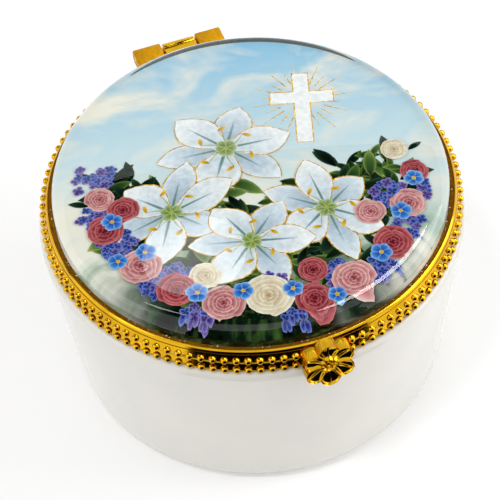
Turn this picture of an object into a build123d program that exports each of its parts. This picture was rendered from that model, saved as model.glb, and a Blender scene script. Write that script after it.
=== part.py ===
"""Round porcelain rosary box with a hinged lid: gilt beaded rims, a picture under a clear dome and a flower clasp.

The origin is the centre of the foot, on the surface that the box stands on. +Z is up, +Y points to the hinge
and -Y to the clasp. Lengths are in millimetres and angles in degrees.
"""
import os
from math import asin, atan, cos, degrees, radians, sin, sqrt

from build123d import *

# ---- driving dimensions -------------------------------------------------------------------------------------
# Porcelain cup
cup_height = 33.85
cup_mouth_radius = 35.56
cup_foot_radius = 31.9
cup_wall = 3.2
cup_floor = 3.6
cup_foot_rounding = 3.4
cup_foot_steps = 3
cup_shoulder_chamfer = 0.9
cup_floor_chamfer = 1.0

# Gilt brass rims. The base rim stands on the cup's mouth, and the lid rim closes on the base rim.
base_rim_setback = 0.96
base_rim_height = 1.55
base_rim_skirt_depth = 2.8
base_rim_skirt_thickness = 0.8
skirt_glue_gap = 0.12
lid_rim_inset = 0.15
lid_rim_height = 2.75
lid_rim_band_height = 1.55
lid_rim_lean = 0.45
lid_rim_wall = 1.25
lid_rim_shelf_width = 1.9
lid_rim_shelf_thickness = 0.6
parting_gap = 0.08

# Beading, a row of pearls round the wall of each rim
bead_count = 116
bead_side_count = 5
bead_radius = 0.52
bead_taper = 22.0
bead_projection = 0.55
bead_side_gap = 0.05
base_bead_drop = 1.03
lid_bead_lift = 1.02

# Lid insert: backing plate, printed picture and clear dome
backing_plate_thickness = 0.8
picture_thickness = 0.3
insert_clearance = 0.1
dome_wall_height = 2.2
dome_edge_rounding = 2.4
dome_edge_steps = 2
dome_crown_radius = 300.0
dome_flat_radius = 14.0

# Hinge
hinge_length = 16.1
hinge_pin_radius = 0.55
hinge_pin_recess = 0.05
hinge_knuckle_radius = 1.3
hinge_barrel_length = 5.8
hinge_side_gap = 0.35
hinge_barrel_shift = 0.2
hinge_pin_standoff = 4.25
hinge_pin_drop = 0.93
hinge_leaf_gap = 0.1
hinge_corner_rounding = 0.4
pin_press_clearance = 0.01
pin_running_clearance = 0.05
knuckle_front_reach = 2.2
lug_thickness = 0.6
lug_gap = 0.12

# Flower clasp on the lid rim and the catch that it snaps over on the base rim
clasp_petals = 6
clasp_radius = 4.35
petal_radius = 1.7
clasp_tilt = 6.0
clasp_face_standoff = 2.5
clasp_drop = 0.1
clasp_back_reach = 4.4
clasp_dish_depth = 0.7
clasp_dish_margin = 0.35
flutes_per_petal = 3
flute_spread = 17.0
flute_start = 0.9
flute_end_margin = 0.25
flute_start_sink = 1.0
flute_end_sink = 0.3
flute_width = 0.8
clasp_pocket_clearance = 0.45
clasp_cup_clearance = 0.35
clasp_seed_radius = 0.62
clasp_seed_side_count = 8
clasp_seed_taper = 20.0
clasp_seed_height = 0.75
catch_width = 3.0
catch_height = 0.8
catch_projection = 0.3

# ---- places worked out from them ----------------------------------------------------------------------------
parting_z = cup_height + base_rim_height
lid_bottom_z = parting_z + parting_gap
lid_top_z = lid_bottom_z + lid_rim_height

cup_slope = (cup_mouth_radius - cup_foot_radius) / cup_height
cup_taper = degrees(atan(cup_slope))
mouth_inner_radius = cup_mouth_radius - cup_wall
base_rim_radius = cup_mouth_radius - base_rim_setback
lid_rim_radius = base_rim_radius - lid_rim_inset
skirt_bottom_z = cup_height - base_rim_skirt_depth
skirt_outer_radius = mouth_inner_radius - cup_slope * base_rim_skirt_depth - skirt_glue_gap
skirt_inner_radius = skirt_outer_radius - base_rim_skirt_thickness

lid_top_radius = lid_rim_radius - lid_rim_lean
lid_bore_radius = lid_top_radius - lid_rim_wall
shelf_inner_radius = lid_bore_radius - lid_rim_shelf_width
insert_radius = lid_bore_radius - insert_clearance
backing_z = lid_bottom_z + lid_rim_shelf_thickness
picture_z = backing_z + backing_plate_thickness
dome_z = picture_z + picture_thickness

pin_y = base_rim_radius + hinge_pin_standoff
pin_z = parting_z - hinge_pin_drop
knuckle_top_z = pin_z + hinge_knuckle_radius

petal_reach = clasp_radius - petal_radius
clasp_half_width = petal_reach * cos(radians(180 / clasp_petals)) + petal_radius
clasp_face_y = -(lid_rim_radius + clasp_face_standoff)
clasp_z = parting_z - clasp_drop
clasp_back_z = parting_z + parting_gap / 2
clasp_pocket_radius = base_rim_radius + clasp_pocket_clearance
clasp_cup_radius = cup_mouth_radius + clasp_cup_clearance
bead_pitch = 360 / bead_count


def beads_hidden(half_width, radius):
    """How many beads, on one side of the middle, a fitting of this half width keeps clear."""
    half_angle = degrees(asin((half_width + bead_radius + bead_side_gap) / radius))
    return int(half_angle / bead_pitch + 0.5)


def rounding(centre_x, centre_y, radius, start, end, steps):
    """Points along an arc, so that a rounded edge is a few plain bands."""
    turns = [radians(start + (end - start) * step / steps) for step in range(steps + 1)]
    return [(centre_x + radius * cos(turn), centre_y + radius * sin(turn)) for turn in turns]


# ---- porcelain cup ------------------------------------------------------------------------------------------
# The foot's rounding touches the tapered wall, so its centre follows from the taper.
taper_shift = (1 - sin(radians(cup_taper))) / cos(radians(cup_taper))
foot_centre_x = cup_foot_radius - cup_foot_rounding * taper_shift
foot_edge = rounding(foot_centre_x, cup_foot_rounding, cup_foot_rounding, -90, -cup_taper, cup_foot_steps)
floor_edge_radius = mouth_inner_radius - cup_slope * (cup_height - cup_floor)
with BuildPart() as cup:
    with BuildSketch(Plane.XZ) as cup_profile:
        with BuildLine():
            Polyline(
                (0, 0),
                *foot_edge,
                (cup_mouth_radius, cup_height),
                (mouth_inner_radius, cup_height),
                (floor_edge_radius, cup_floor),
                (0, cup_floor),
                close=True,
            )
        make_face()
        shoulder_corner = cup_profile.vertices().sort_by(Axis.X)[-1]
        chamfer(shoulder_corner, cup_shoulder_chamfer)
        floor_corner = cup_profile.vertices().sort_by_distance((floor_edge_radius, cup_floor))[0]
        chamfer(floor_corner, cup_floor_chamfer)
    revolve(axis=Axis.Z)
cup.part.label = "cup"

# ---- base rim: a band on the mouth, with a skirt down inside it ---------------------------------------------
with BuildPart() as base_rim:
    with BuildSketch(Plane.XZ):
        with BuildLine():
            Polyline(
                (skirt_inner_radius, skirt_bottom_z),
                (skirt_outer_radius, skirt_bottom_z),
                (skirt_outer_radius, cup_height),
                (base_rim_radius, cup_height),
                (base_rim_radius, parting_z),
                (skirt_inner_radius, parting_z),
                close=True,
            )
        make_face()
    revolve(axis=Axis.Z)
base_rim.part.label = "base_rim"

# ---- lid rim: a bezel that leans in above its beaded band, with a shelf at its foot for the insert -----------
with BuildPart() as lid_rim:
    with BuildSketch(Plane.XZ):
        with BuildLine():
            Polyline(
                (shelf_inner_radius, lid_bottom_z),
                (lid_rim_radius, lid_bottom_z),
                (lid_rim_radius, lid_bottom_z + lid_rim_band_height),
                (lid_top_radius, lid_top_z),
                (lid_bore_radius, lid_top_z),
                (lid_bore_radius, backing_z),
                (shelf_inner_radius, backing_z),
                close=True,
            )
        make_face()
    revolve(axis=Axis.Z)
lid_rim.part.label = "lid_rim"


# ---- beading ------------------------------------------------------------------------------------------------
def beading(name, wall_radius, z, clasp_gap, hinge_gap):
    """A row of pearls on a rim's wall, left out behind the clasp and at the hinge.

    Each pearl has a few flat faces, as there are over two hundred of them.
    """
    row = bead_count // 2 - clasp_gap - hinge_gap
    with BuildPart() as pearl:
        with BuildSketch():
            RegularPolygon(bead_radius, bead_side_count)
        extrude(amount=bead_projection, taper=bead_taper)
    with BuildPart() as pearls:
        right_start = -90 + (clasp_gap + 0.5) * bead_pitch
        left_start = 90 + (hinge_gap + 0.5) * bead_pitch
        with Locations((0, 0, z)):
            for start in (right_start, left_start):
                with PolarLocations(wall_radius, row, start, (row - 1) * bead_pitch, endpoint=True):
                    add(pearl.part, rotation=(0, 90, 0))
    pearls.part.label = name
    return pearls


base_beading = beading(
    "base_beading",
    base_rim_radius,
    parting_z - base_bead_drop,
    beads_hidden(clasp_half_width, base_rim_radius),
    beads_hidden(hinge_length / 2, base_rim_radius),
)
lid_beading = beading(
    "lid_beading",
    lid_rim_radius,
    lid_bottom_z + lid_bead_lift,
    beads_hidden(clasp_half_width, lid_rim_radius),
    beads_hidden(hinge_barrel_length / 2 + hinge_barrel_shift, lid_rim_radius),
)

# ---- lid insert ---------------------------------------------------------------------------------------------
with BuildPart() as backing_plate:
    with BuildSketch(Plane.XY.offset(backing_z)):
        Circle(insert_radius)
    extrude(amount=backing_plate_thickness)
backing_plate.part.label = "backing_plate"

with BuildPart() as picture_disc:
    with BuildSketch(Plane.XY.offset(picture_z)):
        Circle(insert_radius)
    extrude(amount=picture_thickness)
picture_disc.part.label = "picture_disc"

# The dome has an upright edge, a rounded shoulder and a shallow crown, which is flat in the middle.
edge_centre_x = insert_radius - dome_edge_rounding
edge_centre_z = dome_z + dome_wall_height
crown_centre_z = edge_centre_z - sqrt((dome_crown_radius - dome_edge_rounding) ** 2 - edge_centre_x**2)
crown_slope = degrees(asin(edge_centre_x / (dome_crown_radius - dome_edge_rounding)))
crown_z = crown_centre_z + dome_crown_radius
shoulder = rounding(edge_centre_x, edge_centre_z, dome_edge_rounding, 0, 90 - crown_slope, dome_edge_steps)
with BuildPart() as dome:
    with BuildSketch(Plane.XZ):
        with BuildLine():
            Polyline(
                (0, dome_z),
                (insert_radius, dome_z),
                *shoulder,
                (dome_flat_radius, crown_z),
                (0, crown_z),
                close=True,
            )
        make_face()
    revolve(axis=Axis.Z)
dome.part.label = "dome"

# ---- hinge --------------------------------------------------------------------------------------------------
leaf_bottom_z = cup_height + hinge_leaf_gap
leaf_top_z = parting_z - hinge_leaf_gap
barrel_start = hinge_barrel_shift - hinge_barrel_length / 2
barrel_end = barrel_start + hinge_barrel_length


def hinge_knuckle(name, start, end):
    """A knuckle on the base rim: a square-topped barrel round the pin, with a leaf in to the rim's wall."""
    with BuildPart() as knuckle:
        with BuildSketch(Plane.YZ.offset(start)) as section:
            with Locations((pin_y, pin_z)):
                Circle(hinge_knuckle_radius)
            with BuildLine():
                Polyline(
                    (pin_y - knuckle_front_reach, pin_z),
                    (pin_y + hinge_knuckle_radius, pin_z),
                    (pin_y + hinge_knuckle_radius, knuckle_top_z),
                    (pin_y - knuckle_front_reach, knuckle_top_z),
                    close=True,
                )
            make_face()
            with BuildLine():
                Polyline(
                    (base_rim_radius - hinge_pin_standoff / 2, leaf_bottom_z),
                    (pin_y, leaf_bottom_z),
                    (pin_y, leaf_top_z),
                    (base_rim_radius - hinge_pin_standoff / 2, leaf_top_z),
                    close=True,
                )
            make_face()
            back_corner = section.vertices().group_by(Axis.Y)[-1].sort_by(Axis.X)[-1]
            fillet(back_corner, hinge_corner_rounding)
            with Locations((pin_y, pin_z)):
                Circle(hinge_pin_radius + pin_press_clearance, mode=Mode.SUBTRACT)
        extrude(amount=end - start)
        with BuildSketch(Plane.XY):
            Circle(base_rim_radius)
        extrude(amount=lid_top_z, mode=Mode.SUBTRACT)
    knuckle.part.label = name
    return knuckle


hinge_knuckle_left = hinge_knuckle("hinge_knuckle_left", -hinge_length / 2, barrel_start - hinge_side_gap)
hinge_knuckle_right = hinge_knuckle("hinge_knuckle_right", barrel_end + hinge_side_gap, hinge_length / 2)

# The middle barrel turns on the pin and carries the lid by a lug that lands on the lid rim's band.
lug_bottom_z = lid_bottom_z + lug_gap
lug_top_z = lug_bottom_z + lug_thickness
with BuildPart() as hinge_barrel:
    with BuildSketch(Plane.YZ.offset(barrel_start)):
        with Locations((pin_y, pin_z)):
            Circle(hinge_knuckle_radius)
        with BuildLine():
            Polyline(
                (lid_rim_radius - hinge_pin_standoff / 2, lug_bottom_z),
                (lid_rim_radius - hinge_pin_standoff / 2, lug_top_z),
                (pin_y - hinge_knuckle_radius, lug_top_z),
                (pin_y + hinge_knuckle_radius * sin(radians(20)), pin_z + hinge_knuckle_radius * cos(radians(20))),
                (pin_y, pin_z),
                (pin_y - hinge_knuckle_radius * cos(radians(10)), pin_z + hinge_knuckle_radius * sin(radians(10))),
                (pin_y - hinge_knuckle_radius * 1.5, lug_bottom_z),
                close=True,
            )
        make_face()
        with Locations((pin_y, pin_z)):
            Circle(hinge_pin_radius + pin_running_clearance, mode=Mode.SUBTRACT)
    extrude(amount=hinge_barrel_length)
    with BuildSketch(Plane.XY):
        Circle(lid_rim_radius)
    extrude(amount=lid_top_z, mode=Mode.SUBTRACT)
hinge_barrel.part.label = "hinge_barrel"

with BuildPart() as hinge_pin:
    with BuildSketch(Plane.YZ.offset(-hinge_length / 2 + hinge_pin_recess)):
        with Locations((pin_y, pin_z)):
            Circle(hinge_pin_radius)
    extrude(amount=hinge_length - 2 * hinge_pin_recess)
hinge_pin.part.label = "hinge_pin"

# ---- flower clasp -------------------------------------------------------------------------------------------
# Six petals in a dished flower. Its sides run straight back to the lid rim, and its lower petals hang in front
# of the base rim, over the catch.
clasp_plane = Plane(
    origin=(0, clasp_face_y, clasp_z),
    x_dir=(1, 0, 0),
    z_dir=(0, -cos(radians(clasp_tilt)), sin(radians(clasp_tilt))),
)
flute_run = clasp_radius - flute_end_margin - flute_start
flute_rise = degrees(atan((flute_start_sink - flute_end_sink) / flute_run))


def flute_plane(turn):
    """Where a flute starts: its floor, near the flower's middle, looking out along the rising floor."""
    out = clasp_plane.x_dir.rotate(Axis((0, 0, 0), clasp_plane.z_dir), turn)
    start = clasp_plane.origin + out * flute_start - clasp_plane.z_dir * flute_start_sink
    along = out * cos(radians(flute_rise)) + clasp_plane.z_dir * sin(radians(flute_rise))
    return Plane(origin=start, x_dir=clasp_plane.z_dir.cross(out), z_dir=along)


with BuildPart() as clasp:
    with BuildSketch(clasp_plane.offset(-clasp_back_reach)):
        Circle(petal_reach)
        with PolarLocations(petal_reach, clasp_petals, start_angle=-90):
            Circle(petal_radius)
    extrude(amount=clasp_back_reach)
    with BuildSketch(clasp_plane.offset(-clasp_dish_depth)):
        Circle(flute_start)
    with BuildSketch(clasp_plane):
        Circle(clasp_radius - clasp_dish_margin)
    loft(mode=Mode.SUBTRACT)
    for petal in range(clasp_petals):
        for flute in range(flutes_per_petal):
            turn = -90 + petal * 360 / clasp_petals + (flute - (flutes_per_petal - 1) / 2) * flute_spread
            with BuildSketch(flute_plane(turn)):
                with BuildLine():
                    Polyline((0, 0), (flute_width / 2, flute_width), (-flute_width / 2, flute_width), close=True)
                make_face()
            extrude(amount=flute_run / cos(radians(flute_rise)), mode=Mode.SUBTRACT)
    with BuildSketch(Plane.XY.offset(clasp_back_z)):
        Circle(lid_rim_radius)
    extrude(amount=lid_top_z, mode=Mode.SUBTRACT)
    with BuildSketch(Plane.XY):
        Circle(clasp_pocket_radius)
    extrude(amount=clasp_back_z, mode=Mode.SUBTRACT)
    with BuildSketch(Plane.XY):
        Circle(clasp_cup_radius)
    extrude(amount=cup_height + hinge_leaf_gap, mode=Mode.SUBTRACT)
clasp.part.label = "clasp"

# The seed stands in the middle of the dish.
with BuildPart() as clasp_seed:
    with BuildSketch(clasp_plane.offset(-clasp_dish_depth)):
        RegularPolygon(clasp_seed_radius, clasp_seed_side_count)
    extrude(amount=clasp_seed_height, taper=clasp_seed_taper)
clasp_seed.part.label = "clasp_seed"

with BuildPart() as catch:
    with BuildSketch(Plane.XY.offset(parting_z - base_bead_drop - catch_height / 2)):
        Circle(base_rim_radius + catch_projection)
        Circle(base_rim_radius, mode=Mode.SUBTRACT)
        with Locations((0, -base_rim_radius)):
            Rectangle(catch_width, 4 * catch_projection, mode=Mode.INTERSECT)
    extrude(amount=catch_height)
catch.part.label = "catch"

# ---- one file for each piece --------------------------------------------------------------------------------
os.makedirs("parts", exist_ok=True)
for piece in (
    cup,
    base_rim,
    base_beading,
    hinge_knuckle_left,
    hinge_knuckle_right,
    hinge_pin,
    catch,
    lid_rim,
    lid_beading,
    hinge_barrel,
    backing_plate,
    picture_disc,
    dome,
    clasp,
    clasp_seed,
):
    export_step(piece.part, f"parts/{piece.part.label}.step")
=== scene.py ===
"""Dresses the packed rosary box: glazed porcelain, gilt brass rims with pearls, a printed picture under a
glass dome, a three-part hinge and a flower clasp. Run as a script, it builds every piece and the stage.
"""
import math
import random

import bpy
from bpy.props import FloatProperty, FloatVectorProperty, IntProperty, PointerProperty, StringProperty
from mathutils import Matrix, Vector


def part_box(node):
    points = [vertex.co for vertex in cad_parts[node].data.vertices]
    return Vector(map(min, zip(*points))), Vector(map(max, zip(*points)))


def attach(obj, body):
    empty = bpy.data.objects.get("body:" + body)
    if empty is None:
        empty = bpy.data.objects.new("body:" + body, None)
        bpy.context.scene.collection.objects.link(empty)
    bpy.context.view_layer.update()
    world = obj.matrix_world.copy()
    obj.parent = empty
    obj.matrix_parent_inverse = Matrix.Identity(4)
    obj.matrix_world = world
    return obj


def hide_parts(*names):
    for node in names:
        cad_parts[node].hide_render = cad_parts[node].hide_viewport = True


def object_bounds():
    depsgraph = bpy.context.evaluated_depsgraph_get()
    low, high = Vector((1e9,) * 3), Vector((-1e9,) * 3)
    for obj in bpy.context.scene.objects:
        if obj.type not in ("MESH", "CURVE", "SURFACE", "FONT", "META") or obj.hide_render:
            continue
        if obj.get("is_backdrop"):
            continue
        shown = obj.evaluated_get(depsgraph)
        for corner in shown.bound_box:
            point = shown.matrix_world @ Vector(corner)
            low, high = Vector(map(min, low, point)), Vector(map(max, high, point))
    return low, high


bl_info = {
    "name": "Rosary Box Dressing",
    "version": (1, 0, 0),
    "blender": (4, 5, 0),
    "location": "View3D > Sidebar > Rosary Box",
    "description": "Builds a round rosary box of porcelain, gilt brass, glass and paper on its frame",
    "category": "Object",
}

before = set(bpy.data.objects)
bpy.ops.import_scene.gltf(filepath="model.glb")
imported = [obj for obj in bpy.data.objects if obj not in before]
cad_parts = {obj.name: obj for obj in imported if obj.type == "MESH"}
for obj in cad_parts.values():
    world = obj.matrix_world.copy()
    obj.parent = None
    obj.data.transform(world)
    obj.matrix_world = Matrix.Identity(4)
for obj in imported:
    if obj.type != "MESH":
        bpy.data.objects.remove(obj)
CAD_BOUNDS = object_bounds()
MM = 0.001
# The range of a turn that is drawn by chance, in radians.
ANY_TURN = (0, 6.28)


def top_of(node):
    """The height of a node's top, in millimetres."""
    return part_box(node)[1].z / MM


def foot_of(node):
    """The height of a node's underside, in millimetres."""
    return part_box(node)[0].z / MM


def reach_of(node):
    """A round node's outer radius, in millimetres."""
    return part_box(node)[1].x / MM


# Places that the frame gives, in millimetres.
CUP_TOP = top_of("cup")
PARTING = top_of("base_rim")
LID_FOOT = foot_of("lid_rim")
LID_TOP = top_of("lid_rim")
BASE_RIM_RADIUS = reach_of("base_rim")
LID_RIM_RADIUS = reach_of("lid_rim")
DOME_FOOT = foot_of("dome")
DOME_RADIUS = reach_of("dome")
PIN_Y = (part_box("hinge_pin")[0].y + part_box("hinge_pin")[1].y) / 2 / MM
PIN_Z = (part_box("hinge_pin")[0].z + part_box("hinge_pin")[1].z) / 2 / MM


# ---- sizes and colours a user may change -------------------------------------------------------------
def length(label, note, millimetres):
    """A length property, whose default is given in millimetres."""
    return FloatProperty(
        name=label, description=note, default=millimetres * MM, unit="LENGTH", subtype="DISTANCE"
    )


def angle(label, note, degrees):
    """An angle property, whose default is given in degrees."""
    return FloatProperty(
        name=label, description=note, default=math.radians(degrees), unit="ROTATION", subtype="ANGLE"
    )


def hex_colour(label, note, default):
    """A colour property, held as an sRGB hex value."""
    return StringProperty(name=label, description=note, default=default)


class PorcelainSettings(bpy.types.PropertyGroup):
    """The cup."""

    mouth_radius: length("Mouth radius", "Outer radius at the mouth", 35.56)
    foot_radius: length("Foot radius", "Outer radius that the taper reaches at the foot", 31.9)
    wall: length("Wall", "Thickness of the wall", 3.2)
    floor: length("Floor", "Thickness of the floor", 3.6)
    foot_rounding: length("Foot rounding", "Radius of the rounding at the foot", 3.4)
    shoulder_rounding: length("Shoulder rounding", "Radius of the rounding under the rim", 1.2)
    floor_rounding: length("Floor rounding", "Radius between the wall and the floor inside", 4.0)
    foot_ring_inner: length("Foot ring inner radius", "Inner radius of the unglazed ring under it", 24.0)
    foot_recess: length("Foot recess", "How far the middle of the underside is hollowed", 0.6)
    glaze_colour: hex_colour("Glaze colour", "Colour of the glazed porcelain", "#F0EDE3")
    bisque_colour: hex_colour("Bisque colour", "Colour of the bare foot ring", "#DDD6C8")


class GiltSettings(bpy.types.PropertyGroup):
    """The rims, pearls and hinge."""

    wall_inset: length("Wall inset", "How far the base rim's wall leans in above its pearls", 0.45)
    lid_inset: length("Lid wall inset", "How far the lid rim's wall leans in above its pearls", 0.65)
    lip_width: length("Lip width", "Width of the sloping lip round the lid rim's upper edge", 0.3)
    edge_rounding: length("Edge rounding", "Rounding of the small edges", 0.1)
    pearl_radius: length("Pearl radius", "Radius of one pearl", 0.65)
    web_height: length("Web height", "Height of the strip that joins the pearls", 0.55)
    pearl_count: IntProperty(name="Pearls", description="Pearls in a full turn", default=116, min=12)
    knuckle_radius: length("Knuckle radius", "Radius of the hinge barrels", 1.3)
    gilt_colour: hex_colour("Gilt colour", "Colour of the polished gilding", "#E9B622")
    satin_colour: hex_colour("Satin gilt colour", "Colour of the hinge's unpolished gilding", "#D49C10")
    # The recess colour is painted shade for the gilding in the grooves, the channel and the turned line.
    recess_shade_colour: hex_colour("Recess colour", "Colour of the gilding in the grooves", "#744608")
    # The flecks are white specks along the glass: painted highlights.
    flecks: IntProperty(
        name="Flecks", description="Flecks of dried glue along the glass", default=110, min=0
    )


class DomeSettings(bpy.types.PropertyGroup):
    """The clear dome."""

    wall_height: length("Wall height", "Height of the upright edge", 2.2)
    shoulder_rounding: length("Shoulder rounding", "Radius of the shoulder", 2.4)
    crown_radius: length("Crown radius", "Radius of the shallow crown", 300.0)
    index: FloatProperty(name="Refractive index", description="Index of the glass", default=1.49, min=1.0)


class PictureSettings(bpy.types.PropertyGroup):
    """The printed picture."""

    turn: angle("Turn", "Turn of the picture about the box's axis", -16.5)
    seed: IntProperty(name="Seed", description="Seed of the flowers' small differences", default=7)
    outline: length("Gold line", "Width of the gold lines", 0.2)
    # The border is a thin dark grey-green ring round the picture's edge.
    border: length("Border", "Width of the line of glue round the picture", 0.4)


class ClaspSettings(bpy.types.PropertyGroup):
    """The flower clasp."""

    radius: length("Radius", "Radius to the petals' tips", 4.35)
    petal_radius: length("Petal radius", "Radius of one petal's round end", 1.7)
    petals: IntProperty(name="Petals", description="Number of petals", default=6, min=3)
    dish: length("Dish", "Depth of the hollow in each petal", 0.6)
    tilt: angle("Tilt", "How far the face looks up", 6.0)
    standoff: length("Standoff", "Distance from the lid rim's band to the middle of the face", 2.5)
    seed_radius: length("Seed radius", "Radius of the seed in the middle", 0.5)


class StageSettings(bpy.types.PropertyGroup):
    """The floor, the lights and the camera."""

    floor_size: length("Floor size", "Side of the floor", 6000.0)
    floor_colour: hex_colour("Floor colour", "Colour of the floor", "#F0F0F0")
    camera_place: FloatVectorProperty(
        name="Camera place", description="Place of the camera", default=(-0.06859, -0.22890, 0.31024),
        subtype="TRANSLATION", unit="LENGTH",
    )
    camera_azimuth: angle("Camera azimuth", "Way the camera looks, from +Y", -16.5)
    camera_elevation: angle("Camera elevation", "How far the camera looks down", 50.33)
    camera_roll: angle("Camera roll", "Turn about its own view axis", -3.834)
    lens: FloatProperty(name="Lens", description="Focal length in millimetres", default=158.4, min=10.0)


# ---- small tools -------------------------------------------------------------------------------------
def linear(hex_value):
    """An sRGB hex value as a linear colour with alpha."""
    parts = [int(hex_value[i : i + 2], 16) / 255 for i in (1, 3, 5)]
    return tuple(p / 12.92 if p <= 0.04045 else ((p + 0.055) / 1.055) ** 2.4 for p in parts) + (1.0,)


def mix(one, other, share):
    """A colour between two."""
    return tuple(a + (b - a) * share for a, b in zip(one, other))


def add_node(tree, kind, settings=None, **links):
    """Adds a shader node and links its inputs.

    Settings name its own values, its inputs' (by name or number) or a ramp's stops. A link names its
    input, or numbers it: i0 is the first.
    """
    node = tree.nodes.new(kind)
    for key, value in (settings or {}).items():
        if key == "stops":
            elements = node.color_ramp.elements
            while len(elements) < len(value):
                elements.new(1.0)
            for element, (position, colour) in zip(elements, value):
                element.position, element.color = position, colour
        elif isinstance(key, int) or key in node.inputs:
            node.inputs[key].default_value = value
        else:
            setattr(node, key, value)
    for key, source in links.items():
        numbered = key[0] == "i" and key[1:].isdigit()
        socket = node.inputs[int(key[1:]) if numbered else key.replace("_", " ")]
        tree.links.new(source, socket)
    return node


def new_material(name):
    """An empty node material and its tree."""
    material = bpy.data.materials.new(name)
    material.use_nodes = True
    material.node_tree.nodes.clear()
    return material, material.node_tree


def rounded(corners, steps=8):
    """An outline through corners (across, up, rounding), each drawn as an arc of its own rounding."""
    points = []
    for i, (across, up, rounding) in enumerate(corners):
        here = Vector((across, up))
        if rounding <= 0:
            points.append(here)
            continue
        before = (Vector(corners[i - 1][:2]) - here).normalized()
        after = (Vector(corners[(i + 1) % len(corners)][:2]) - here).normalized()
        half = before.angle(after) / 2
        centre = here + (before + after).normalized() * (rounding / math.sin(half))
        start = here + before * (rounding / math.tan(half)) - centre
        end = here + after * (rounding / math.tan(half)) - centre
        sweep = start.angle(end)
        for step in range(steps + 1):
            share = step / steps
            spoke = start * math.sin((1 - share) * sweep) + end * math.sin(share * sweep)
            points.append(centre + spoke / math.sin(sweep))
    return points


def piece(name, points, faces, material, body, slot, replaced=(), crease=40.0):
    """A mesh piece from points in millimetres, riding on a body and standing for the nodes it replaces."""
    mesh = bpy.data.meshes.new(name)
    mesh.from_pydata([tuple(c * MM for c in p) for p in points], [], faces)
    mesh.polygons.foreach_set("use_smooth", [True] * len(mesh.polygons))
    mesh.set_sharp_from_angle(angle=math.radians(crease))
    mesh.materials.append(material)
    mesh.update()
    obj = bpy.data.objects.new(name, mesh)
    bpy.context.scene.collection.objects.link(obj)
    settle(obj, body, slot, replaced)
    return obj


def settle(obj, body, slot, replaced=()):
    """Fixes a finished piece to its body and hides the nodes that it stands for. The slot is not used."""
    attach(obj, body)
    if replaced:
        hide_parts(*replaced)


def fan_faces(hub, first, around):
    """Triangles from a hub point to a closed ring of points."""
    return [(hub, first + k, first + (k + 1) % around) for k in range(around)]


def ring_faces(low, high, around):
    """Four-sided faces between two closed rings of points."""
    return [(low + k, high + k, high + (k + 1) % around, low + (k + 1) % around) for k in range(around)]


def ball(points, faces, centre, axes, radius, rows, around, reach):
    """Adds a ball that is cut off flat at its back.

    It starts at its pole on the first axis and goes on over a share, reach, of half a turn.
    """
    out, across, up = axes
    start = len(points)
    points.append(centre + out * radius)
    for row in range(1, rows + 1):
        lean = math.pi * reach * row / rows
        for k in range(around):
            spin = 2 * math.pi * k / around
            side = across * math.cos(spin) + up * math.sin(spin)
            points.append(centre + (out * math.cos(lean) + side * math.sin(lean)) * radius)
    faces += fan_faces(start, start + 1, around)
    for row in range(1, rows):
        low = start + 1 + (row - 1) * around
        faces += ring_faces(low, low + around, around)
    last = start + 1 + (rows - 1) * around
    faces.append(tuple(range(last, last + around))[::-1])


def lathe(outline, segments=256):
    """Points and faces of an outline turned about the axis, closed on itself or at the axis."""
    points, rings = [], []
    for across, up in outline:
        if across < 1e-6:
            rings.append([len(points)] * segments)
            points.append((0.0, 0.0, up))
            continue
        rings.append(range(len(points), len(points) + segments))
        for k in range(segments):
            turn = 2 * math.pi * k / segments
            points.append((across * math.cos(turn), across * math.sin(turn), up))
    faces = []
    open_ended = outline[0][0] < 1e-6 and outline[-1][0] < 1e-6
    for i in range(len(rings) - (1 if open_ended else 0)):
        low, high = rings[i], rings[(i + 1) % len(rings)]
        for k in range(segments):
            n = (k + 1) % segments
            corners = [low[k], low[n], high[n], high[k]]
            face = [c for j, c in enumerate(corners) if c != corners[j - 1]]
            faces.append(tuple(face))
    return points, faces


# ---- materials ---------------------------------------------------------------------------------------
def glazed_porcelain():
    """Slip-cast porcelain under a clear glaze: a soft white body with sharp, slightly wavy reflections."""
    settings = bpy.context.scene.rosary_porcelain
    material, tree = new_material("glazed_porcelain")
    place = add_node(tree, "ShaderNodeTexCoord").outputs["Object"]
    # Cloudy patches about 12 mm across, barely darker than the body.
    cloud = add_node(tree, "ShaderNodeTexNoise", {"Scale": 1 / (12 * MM), "Detail": 3.0}, Vector=place)
    white = linear(settings.glaze_colour)
    shades = [(0.3, mix(white, linear("#E4E2DB"), 0.5)), (0.7, white)]
    tint = add_node(tree, "ShaderNodeValToRGB", {"stops": shades}, Fac=cloud.outputs["Fac"])
    # The glaze lies in waves of about 6 mm.
    wave = add_node(tree, "ShaderNodeTexNoise", {"Scale": 1 / (6 * MM), "Detail": 1.0}, Vector=place)
    bump = add_node(
        tree, "ShaderNodeBump", {"Strength": 0.12, "Distance": 0.05 * MM}, Height=wave.outputs["Fac"]
    )
    shader = add_node(
        tree,
        "ShaderNodeBsdfPrincipled",
        {"Roughness": 0.32, "IOR": 1.5, "Coat Weight": 1.0, "Coat Roughness": 0.05, "Coat IOR": 1.5},
        Base_Color=tint.outputs["Color"],
        Normal=bump.outputs["Normal"],
        Coat_Normal=bump.outputs["Normal"],
    )
    add_node(tree, "ShaderNodeOutputMaterial", Surface=shader.outputs["BSDF"])
    return material


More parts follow.
